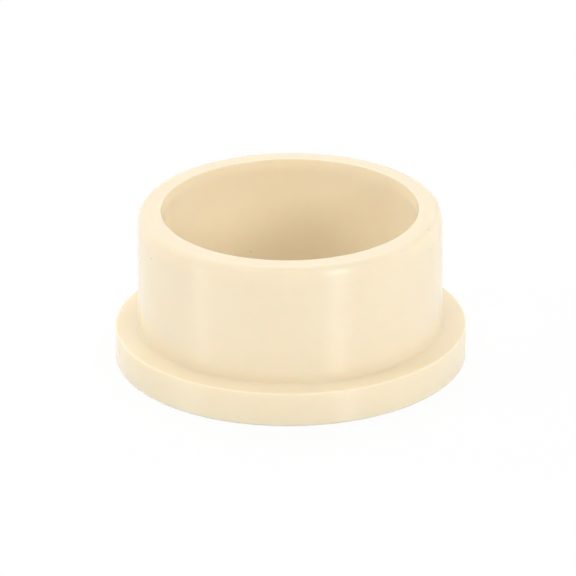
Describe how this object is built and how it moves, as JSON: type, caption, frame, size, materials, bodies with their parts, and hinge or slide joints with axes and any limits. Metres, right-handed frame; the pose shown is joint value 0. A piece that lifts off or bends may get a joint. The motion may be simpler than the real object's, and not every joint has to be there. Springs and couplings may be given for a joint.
{
  "type": "flanged bushing",
  "caption": "Round plastic bushing with an open bore, a softly rounded nose on the sleeve, and a thick flange that seats it in its housing.",
  "frame": {"origin": "on the axis of the bore, in the flat underside of the flange", "axes": "+Z along the axis of the bore, from the flange to the free end of the sleeve"},
  "size_m": [0.0346, 0.0346, 0.0156],
  "materials": {
    "cream_plastic": "satin, slightly translucent, as moulded"
  },
  "bodies": {
    "root": {"flanged_bushing": "cream_plastic"}
  },
  "joints": []
}
